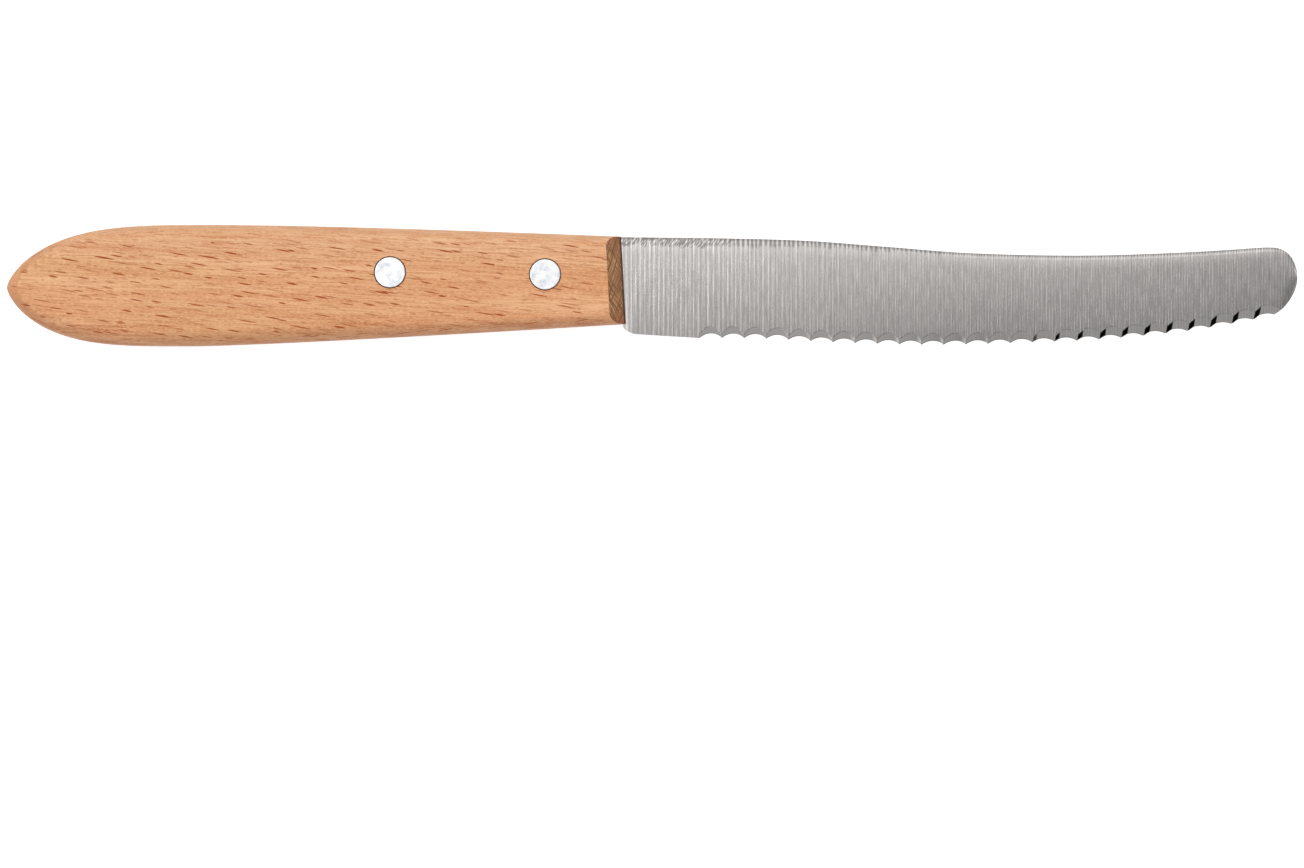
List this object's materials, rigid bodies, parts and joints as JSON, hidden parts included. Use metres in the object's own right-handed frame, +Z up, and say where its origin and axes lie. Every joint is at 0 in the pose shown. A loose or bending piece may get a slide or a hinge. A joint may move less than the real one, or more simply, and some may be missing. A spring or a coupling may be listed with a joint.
{
  "type": "steak knife",
  "caption": "Table knife for steak with a round-tipped, scallop-edged steel blade riveted by its half tang into a slotted one-piece beech handle.",
  "frame": {"origin": "under the middle of the knife as it lies on its side, on the surface that it lies on", "axes": "+X towards the blade's tip, +Y towards the spine, +Z up out of the side with the ground scallops"},
  "size_m": [0.2198, 0.0206, 0.013],
  "materials": {
    "steel": "finely ground across its width, scallops polished",
    "beech": "fine sanded, lightly oiled, open grain at the front end",
    "rivet": "satin, flush with the wood"
  },
  "bodies": {
    "root": {"blade": "steel", "handle": "beech", "front_rivet_pin": "rivet", "front_rivet_socket": "rivet", "rear_rivet_pin": "rivet", "rear_rivet_socket": "rivet"}
  },
  "joints": []
}
